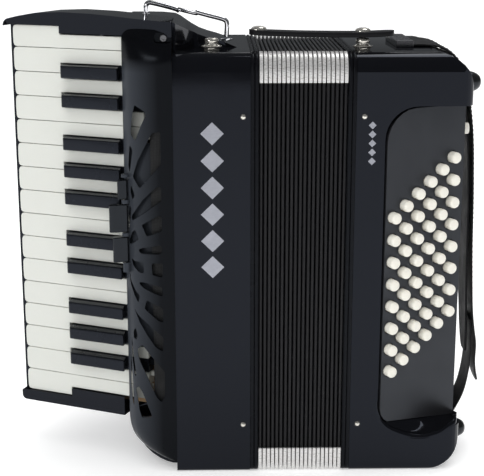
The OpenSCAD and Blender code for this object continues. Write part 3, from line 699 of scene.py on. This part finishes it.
def bellows():
    """The pleated skin, and over each fold a binding with its corner guards."""
    skin = bmesh.new()
    rings = []
    for k in range(2 * FOLDS + 1):
        x = BELLOWS_X[0] + k * FOLD_PITCH / 2
        inset = FOLD_PEAK if k % 2 else FOLD_VALLEY
        rings.append([at(x, y, z) for y, z in side_outline(inset)])
    loft(skin, rings)
    obj = from_bmesh("bellows_pleats", skin, 20)
    add_modifier(obj, "SOLIDIFY", thickness=0.5 * MM, offset=0)
    obj.data.materials.append(MATERIALS["bellows_leathercloth"])
    follow_bellows(obj)
    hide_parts("bellows_folds")

    binding = bmesh.new()
    guards = bmesh.new()
    for k in range(FOLDS):
        x = BELLOWS_X[0] + (k + 0.5) * FOLD_PITCH
        ring_strip(binding, x, side_outline(0.7), side_outline(4.5))
        corner_strip(guards, x, dense_outline(-0.7), dense_outline(2.4))
    for name, bm, thick, slot, node in (
            ("bellows_bindings", binding, 2.7, "bellows_leathercloth", "bellows_folds"),
            ("bellows_corner_guards_piece", guards, 2.75, "guard_steel", "bellows_corner_guards")):
        mesh = bpy.data.meshes.new(name)
        bm.to_mesh(mesh)
        bm.free()
        obj = new_object(name, mesh, 50)
        add_modifier(obj, "SOLIDIFY", thickness=thick * MM, offset=0)
        bevel(obj, 1.2, 4, 60)
        obj.data.materials.append(MATERIALS[slot])
        follow_bellows(obj)
        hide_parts(node)


# ---- Bass side ----

# The scoop below the button board: its lip as (x, y, z), and its upper rear edge as (x, z)
SCOOP_LIP = [(163.3, 0.1, 60), (163.8, 0.1, 52), (167, 0.1, 43.8), (171.5, 0.1, 39.2),
             (177.4, 0.1, 35.7), (189.5, 0.1, 31.4), (201.7, 0.1, 30.6), (213.9, 0.1, 34),
             (221, 0.3, 39.6), (226, 2, 42.4), (229.4, 6, 42.8), (230.8, 12, 41.8),
             (230.9, 22, 39), (230.9, 32, 36)]
SCOOP_REAR = [(163.2, 60), (164.2, 52), (167, 46.5), (170, 43.8), (175.5, 41.9), (183, 40.9),
              (192, 39.8), (202, 38.6), (212, 37.4), (219, 36.6), (224, 36), (227, 35.6),
              (229, 35.3), (230.9, 35.1)]


def scoop_rings(drop):
    """Cross-sections of the scoop's surface, from the outside of its lip to the board."""
    lip = [Vector(p) for p in spline(SCOOP_LIP, 4)]
    rear = spline(SCOOP_REAR, 4)
    rings = []
    for i, p in enumerate(lip):
        along = lip[min(i + 1, len(lip) - 1)] - lip[max(i - 1, 0)]
        up = Vector((-along.z, 0, along.x)).normalized()
        inward = Vector((along.z, 0, -along.x)).cross(along).normalized()
        inward = inward if inward.y > 0 or inward.x < -0.5 else -inward
        x, z = rear[i]
        q = Vector((x, BOARD_ORIGIN[1] + (x - BOARD_ORIGIN[0]) * math.tan(BOARD_ANGLE), z))
        line = [p + up * a + inward * b for a, b in ((-3, 0), (-1.6, 0.2), (-0.7, 0.7), (-0.2, 1.4))]
        crest = p + inward * 2.4
        reach = min((q - crest).length / 24, 1)
        for k in range(11):
            t = k / 10
            line.append(crest.lerp(q, t) - Vector((0, 0, 2.6 * reach * math.sin(math.pi * t ** 0.7))))
        rings.append([v - Vector((0, 0, drop)) for v in line])
    return rings


def bass_casing():
    """The casing with a smooth scoop worked into the lower end of its recess."""
    cutter = bmesh.new()
    top_z, low_z = 70, 28  # how far the cutter reaches up, and the scoop's solid down
    rings = []
    for line in scoop_rings(0.5):
        front, back = line[0], line[-1]
        # a point outside the casing: in front of it, then past its end where the lip turns round
        turn = min(max((front.x - 222) / 8.9, 0), 1)
        outside = front + Vector((12 * turn, 12 * (turn - 1), 0))
        rings.append([outside] + line + [Vector((back.x, back.y, top_z)),
                                         Vector((outside.x, outside.y, top_z))])
    rings.append([v + Vector((9, 4.4, 0)) for v in rings[-1]])
    loft(cutter, [[at(*v) for v in ring] for ring in rings], cap=True)
    rounded_copy("bass_casing", 1.3, 3, 20, from_bmesh("scoop_cutter", cutter))

    bm = bmesh.new()
    rings = []
    for line in scoop_rings(0):
        ends = [Vector((line[-1].x, line[-1].y, low_z)), Vector((line[0].x, line[0].y, low_z))]
        rings.append([at(*v) for v in line + ends])
    loft(bm, rings, cap=True)
    finish_piece(from_bmesh("bass_scoop", bm, 60), "bass_casing", replaces=False)


def bass_button_board():
    """The board, with its lower edge falling a little towards its free end."""
    start_x, fall = 172, 5.5
    board = rounded_copy("bass_button_board", 0.3)
    for vert in board.data.vertices:
        here = (vert.co - CORNER) / MM
        if here.z < 45 and here.x > start_x:
            vert.co.z -= (here.x - start_x) / (END_X - start_x) * fall * MM


BUTTON_ROWS = 8
BUTTON_LINES = ["counter_bass_buttons", "bass_note_buttons", "major_chord_buttons",
                "minor_chord_buttons", "seventh_chord_buttons", "diminished_chord_buttons"]
BUTTON = [(0, -9), (1.5, -9), (1.5, -4.6), (4.5, -4.5), (4.5, 4.6), (4.4, 5.3), (4.1, 5.9), (3.6, 6.3),
          (2.8, 6.6), (1.4, 6.78), (0, 6.8)]


def button_spot(col, row):
    """Where a button sits: each column starts a little higher than the last, and its rows run down."""
    x, z = 8 + 11 * col, 212 + 8.7 * col - 18.15 * row
    return lambda a, b, h: on_board(x + a, -2.6 - h, z + b)


def buttons():
    for col, node in enumerate(BUTTON_LINES):
        turned(node + "_piece", node, [(BUTTON, button_spot(col, row)) for row in range(BUTTON_ROWS)])


def air_button():
    turned("air_button_piece", "air_button",
           [([(0, -6), (2, -6), (2, 0), (4.6, 0), (4.6, 8.2), (4.3, 8.8), (3.6, 9.1), (0, 9.3)],
             lambda a, b, h: at(END_X - 4 + h, 46 + a, 275.5 + b))])


FOOT = [(0, -3), (8.5, -3), (8.5, 0.6), (8.3, 2.0), (7.8, 4.0), (6.9, 6.2), (5.8, 8.0), (4.3, 9.4),
        (2.4, 10.2), (0, 10.4)]


def rubber_feet():
    """Four feet on the casing's rounded end, each with a skirt that reaches its surface."""
    jobs = []
    reach = 9
    for z in (21, 314):
        off = reach + (END_RADIUS - z if z < END_RADIUS else z - (CASING_H - END_RADIUS))
        base = END_X - END_RADIUS + math.sqrt(END_RADIUS ** 2 - off ** 2) - 0.4
        skirt = END_X - base + 1
        tall = [(r, -1 if h < 0 else h + skirt) for r, h in FOOT]
        for y in (38, BODY_D - 38):
            jobs.append((tall, lambda a, b, h, base=base, y=y, z=z: at(base + h, y + a, z + b)))
    turned("rubber_feet_piece", "rubber_feet", jobs)


# The lines of the strap, its pad and its lower end, in X and Z
STRAP_LINE = ([(187, 341), (193, 341.1)]
              + [(201 + 31 * math.cos(math.radians(a)), 310 + 31 * math.sin(math.radians(a)))
                 for a in (90, 78, 66, 54, 42, 30)]
              + [(232.6, 312), (235.6, 300), (238.4, 284), (240.8, 260), (242.6, 220), (243.6, 180),
                 (244.8, 150), (246.4, 120), (248.6, 102), (250.4, 90), (250.2, 76), (251.2, 66),
                 (253, 58)])
PAD_LINE = [(232.5, 297), (235, 280), (237.4, 250), (239, 215), (239.9, 175), (240.7, 135),
            (241.6, 108), (242.2, 84)]
LOWER_LINE = [(245.4, 112), (246.6, 92), (246.2, 72), (242.6, 50), (236.4, 35), (231.6, 27)]


def strap_edges(z):
    """Front and rear edge of the strap, in Y: it grows narrow towards its lower end."""
    t = min(max((z - 100) / 120, 0), 1)
    return 50, 80 + 30 * t * t * (3 - 2 * t)


def band(bm, line, thick, margin=0.0, crown=0.0, taper=0.0):
    """A strap along a line in X and Z, with rounded edges, a crowned face and a tapered end."""
    rings = []
    steps = 10
    for i, p in enumerate(line):
        y0, y1 = strap_edges(p[1])
        from_end = (Vector(line[-1]) - Vector(p)).length
        slim = 1 - math.sqrt(min(from_end / taper, 1)) if taper else 0
        y0 += margin + 2 * slim
        y1 -= margin + (y1 - y0 - 14) * slim
        a = Vector(line[max(i - 1, 0)])
        b = Vector(line[min(i + 1, len(line) - 1)])
        along = (b - a).normalized()
        out = Vector((-along.y, along.x))
        ring = []
        for k in range(steps + 1):
            t = k / steps
            lift = thick + crown * math.sin(math.pi * t)
            edge = min(t, 1 - t) * (y1 - y0)
            lift *= math.sqrt(min(edge / 1.6, 1.0)) * 0.45 + 0.55
            ring.append(at(p[0] + out.x * lift, y0 + t * (y1 - y0), p[1] + out.y * lift))
        for k in range(steps, -1, -1):
            ring.append(at(p[0], y0 + k / steps * (y1 - y0), p[1]))
        rings.append(ring)
    loft(bm, rings, cap=True)


def stitches(name, node, line, lift, margin, pitch=3.4):
    """Rows of short raised threads on a strap."""
    bm = bmesh.new()
    travelled = 0.0
    dense = spline(line, 20)
    for a, b in zip(dense, dense[1:]):
        p, q = Vector(a), Vector(b)
        travelled += (q - p).length
        if travelled < pitch:
            continue
        travelled = 0.0
        along = (q - p).normalized()
        out = Vector((-along.y, along.x))
        y0, y1 = strap_edges(p.y)
        for y in (y0 + margin, y1 - margin):
            points = []
            for k in range(5):
                t = (k - 2) / 2
                rise = lift + 0.2 * (1 - t * t)
                spot = p + along * t * pitch * 0.32 + out * rise
                points.append(at(spot.x, y, spot.y))
            tube(bm, points, 0.32, 6)
    finish_piece(from_bmesh(name, bm, 60), node, slot="strap_leather", mat=STITCH, replaces=False)


def bass_strap():
    bm = bmesh.new()
    band(bm, spline(STRAP_LINE, 4), 2.0, taper=16)
    band(bm, spline(LOWER_LINE, 6), 1.8, margin=1)
    finish_piece(from_bmesh("bass_strap_piece", bm, 50), "bass_strap")
    stitches("bass_strap_stitches", "bass_strap", STRAP_LINE[3:-4], 1.75, 4.5)
    bm = bmesh.new()
    band(bm, spline(PAD_LINE, 6), 2.2, margin=1.5, crown=0.8, taper=22)
    pad = finish_piece(from_bmesh("bass_strap_pad_piece", bm, 50), "bass_strap_pad")


def bellows_strap():
    """The closing strap over the bellows, along a line in X and Z, with its two caps."""
    bm = bmesh.new()
    mid_y, wide = 28, 9
    line = spline([(59, 352.3), (80, 351.4), (110, 350.6), (147, 350.4), (171, 351.4)], 8)
    section = [(-1, 0.5), (-0.96, 0.0), (0.96, 0.0), (1, 0.5), (1, 3.3), (0.95, 3.8), (0.4, 4.0),
               (-0.4, 4.0), (-0.95, 3.8), (-1, 3.3)]
    rings = []
    for x, z in line:
        # both ends are round in plan
        from_end = min(x - line[0][0], line[-1][0] - x)
        half = wide
        if from_end <= wide:
            half *= math.sqrt(max(1 - ((wide - from_end) / (wide + 0.3)) ** 2, 0.02))
        rings.append([at(x, mid_y + y * half, z + dz) for y, dz in section])
    loft(bm, rings, cap=True)
    finish_piece(from_bmesh("bellows_strap_piece", bm, 50), "bellows_strap")
    cap = [(0, 0), (6.0, 0), (6.0, 0.9), (5.6, 1.7), (4.6, 2.4), (2.6, 3.0), (0, 3.2)]
    turned("bellows_strap_caps", "bellows_strap",
           [(cap, up_from(66.5, mid_y, 355.6)), (cap, up_from(147, mid_y, 354.2))],
           slot="nickel", replaces=False)


# ---- Keys ----

# White keys are counted from the top. A black key lies below each white key named in BLACK_AFTER,
# BLACK_SHIFT above the gap between that key and the next.
WHITE_KEYS = 16
BLACK_AFTER = [2, 3, 5, 6, 7, 9, 10, 12, 13, 14]
BLACK_SHIFT = [1.9, -1.8, 3, 0.3, -2.4, 2.1, -1.6, 3.2, 0.6, -2]
KEY_PITCH = 19.5
KEY_TOP = 359.2
KEY_GAP = 0.2
HEAD_END = -49
BLACK_ROOM = 6.1


def white_top(i):
    return KEY_TOP - (i - 1) * KEY_PITCH


def black_mid(i):
    return white_top(i + 1) + BLACK_SHIFT[BLACK_AFTER.index(i)]


def key_arm(bm, z, low, high):
    """The part below a key that reaches back to its axle."""
    prism(bm, [(20, low), (41, low), (41, high), (20, high)], on_keys, 5, 8)
    prism(bm, [(27, z - 4.5), (41, z - 4.5), (41, z + 4.5), (27, z + 4.5)], on_keys, 8, 13.7)


def white_key(node, i):
    """A wide head, and a tail that leaves room for the black keys or the cheeks."""
    high = white_top(i) - KEY_GAP - (1.9 if i == 1 else 0)
    low = white_top(i + 1) + KEY_GAP + (0.6 if i == WHITE_KEYS else 0)
    tail_high, tail_low = high, low
    if i - 1 in BLACK_AFTER:
        tail_high = black_mid(i - 1) - BLACK_ROOM
    if i in BLACK_AFTER:
        tail_low = black_mid(i) + BLACK_ROOM
    if i == 1:
        tail_high = high - 6.6
    if i == WHITE_KEYS:
        tail_low = low + 7.2

    def outline(inset, tip, end):
        left = []
        for k in range(9):
            t = k / 8
            turn = math.pi * (0.5 + t)
            # a bowed tip with small round corners
            bow = tip + 1.5 * abs(2 * t - 1) ** 2.5
            side = math.copysign(abs(math.sin(turn)) ** 0.45, math.sin(turn))
            z = (high + low) / 2 + ((high - low) / 2 - inset) * side
            left.append((bow + 2.2 * (1 - abs(math.cos(turn)) ** 0.5), z))
        tail = [(HEAD_END, tail_low + inset), (end, tail_low + inset),
                (end, tail_high - inset), (HEAD_END, tail_high - inset)]
        return left + [(HEAD_END, low + inset)] + tail + [(HEAD_END, high - inset)]

    bm = bmesh.new()
    prism(bm, outline(0, -92, 24), on_keys, 0, 3.4)
    prism(bm, outline(0.5, -89.5, 23.8), on_keys, 3.3, 10)
    mid = white_top(i) - KEY_PITCH / 2 - (3 if i == 1 else 0)
    key_arm(bm, mid, max(mid - 2.5, tail_low), min(mid + 2.5, tail_high))
    obj = from_bmesh(node + "_piece", bm, 35)
    bevel(obj, 0.55, 3, 50)
    finish_piece(obj, node)


# A black key's cross-sections from the board outwards: y, half its width, left end, right end
BLACK_SECTIONS = [(0.8, 5.5, -47.4, 3.4), (-3, 5.3, -46.4, 4.4), (-6.8, 5.0, -45.2, 5.4),
                  (-7.8, 4.75, -44.6, 5.6), (-8.35, 4.3, -43.9, 5.5), (-8.5, 3.7, -43.0, 5.2)]


def black_key(node, i):
    z = black_mid(i)
    bm = bmesh.new()
    prism(bm, [(-47, z - 5.5), (24, z - 5.5), (24, z + 5.5), (-47, z + 5.5)], on_keys, 0.4, 10)
    rings = []
    for y, half, left, right in BLACK_SECTIONS:
        section = round_corners([(left, -half), (right, -half), (right, half), (left, half)], 0.9, 3)
        rings.append([on_keys(x, y, z + dz) for x, dz in section])
    loft(bm, rings, cap=True)
    gap = white_top(i + 1)
    key_arm(bm, gap, gap - 2.5, gap + 2.5)
    obj = from_bmesh(node + "_piece", bm, 45)
    bevel(obj, 0.25, 2, 60)
    finish_piece(obj, node)


def keys():
    """All keys from the top down, white and black numbered in one row."""
    number = 0
    for i in range(1, WHITE_KEYS + 1):
        number += 1
        white_key(f"key_{number:02d}", i)
        if i in BLACK_AFTER:
            number += 1
            black_key(f"key_{number:02d}", i)


# ---- Studio ----

# The camera: its lens and its place in the drawing in mm, its dip and its turn in degrees
CAMERA_LENS = 92.72
CAMERA_SPOT = (33.1, -943.1, 437.7)
CAMERA_DOWN, CAMERA_TURN = 14.309, -1.205


def sun(name, direction, power, angle):
    """A wide soft sun that is not seen in reflections."""
    lamp = bpy.data.lights.new(name, "SUN")
    lamp.energy = power
    lamp.angle = math.radians(angle)
    obj = bpy.data.objects.new(name, lamp)
    obj.rotation_euler = (-Vector(direction)).to_track_quat("-Z", "Y").to_euler()
    obj.visible_glossy = False
    bpy.context.scene.collection.objects.link(obj)


def area(name, place, aim, size, power):
    """A small soft lamp that draws lines of light on the polished edges."""
    lamp = bpy.data.lights.new(name, "AREA")
    lamp.shape = "RECTANGLE"
    lamp.size, lamp.size_y = size
    lamp.energy = power
    obj = bpy.data.objects.new(name, lamp)
    obj.location = place
    obj.rotation_euler = (Vector(aim) - Vector(place)).to_track_quat("-Z", "Y").to_euler()
    bpy.context.scene.collection.objects.link(obj)


def studio():
    scene = bpy.context.scene
    scene.view_settings.view_transform = "Standard"
    world = bpy.data.worlds.new("studio")
    scene.world = world
    world.use_nodes = True
    background = world.node_tree.nodes["Background"]
    background.inputs["Color"].default_value = (0.9, 0.95, 1, 1)
    background.inputs["Strength"].default_value = 0.10

    # the floor glows a little, so that the glossy faces mirror a bright sweep
    mesh = bpy.data.meshes.new("floor")
    size = 9
    mesh.from_pydata([(-size, -size, 0), (size, -size, 0), (size, size, 0), (-size, size, 0)], [],
                     [(0, 1, 2, 3)])
    floor = bpy.data.objects.new("floor", mesh)
    scene.collection.objects.link(floor)
    g = Graph("floor_paper")
    mesh.materials.append(g.shader(g.mix(g.noise(3, 2), (0.87, 0.87, 0.87), (0.89, 0.89, 0.89)), 0.9,
                                   Specular_IOR_Level=0.1, Emission_Color=(1, 1, 1, 1),
                                   Emission_Strength=0.3))

    sun("overhead", (0.05, 0.15, 1), 2.5, 110)
    sun("front", (-0.35, -1, 0.75), 1.0, 50)
    area("top softbox", (0.42, 0.3, 1.5), (0.15, -0.05, 0.05), (0.6, 0.6), 4.5)
    area("rear strip", (0, 1.5, 1.15), (0, 0, 0.34), (2.4, 0.12), 1.6)
    area("left strip", (-1.15, -1.1, 0.66), (-0.05, 0, 0.3), (0.6, 0.2), 2.2)

    camera = bpy.data.cameras.new("camera")
    camera.sensor_width = 36
    camera.lens = CAMERA_LENS
    obj = bpy.data.objects.new("camera", camera)
    obj.location = at(*CAMERA_SPOT)
    obj.rotation_euler = (math.radians(90 - CAMERA_DOWN), 0, math.radians(CAMERA_TURN))
    scene.collection.objects.link(obj)
    scene.camera = obj


# ---- Whole object ----

# CAD nodes whose own shape is kept, with the width of their rounding
ROUNDED = {"treble_casing": 0.8, "fingerboard": 1.2, "bass_back_cover": 0.6, "bass_strap_clip": 0.5,
           "register_switch_1": 0.8, "register_switch_2": 0.9, "register_switch_3": 0.8}

studio()
for node, obj in frame["nodes"].items():
    obj.data.materials.clear()
    obj.data.materials.append(MATERIALS[SLOTS[node]])

for node, width in ROUNDED.items():
    rounded_copy(node, width)
bass_casing()
bass_button_board()
treble_grille()
grille_cloth()
fasteners("treble_fasteners", 53.9, (30, 30))
fasteners("bass_fasteners", 146.6, (147, 28))
strap_bail()
inlay("treble_inlay", "treble_casing", 30, 163, 290, 6, 18)
inlay("bass_inlay", "bass_casing", 153, 254, 289, 5, 6)
bellows_frame("treble_bellows_frame", TREBLE_W)
bellows_frame("bass_bellows_frame", BELLOWS_X[1])
bellows()
buttons()
air_button()
rubber_feet()
bass_strap()
bellows_strap()
keys()
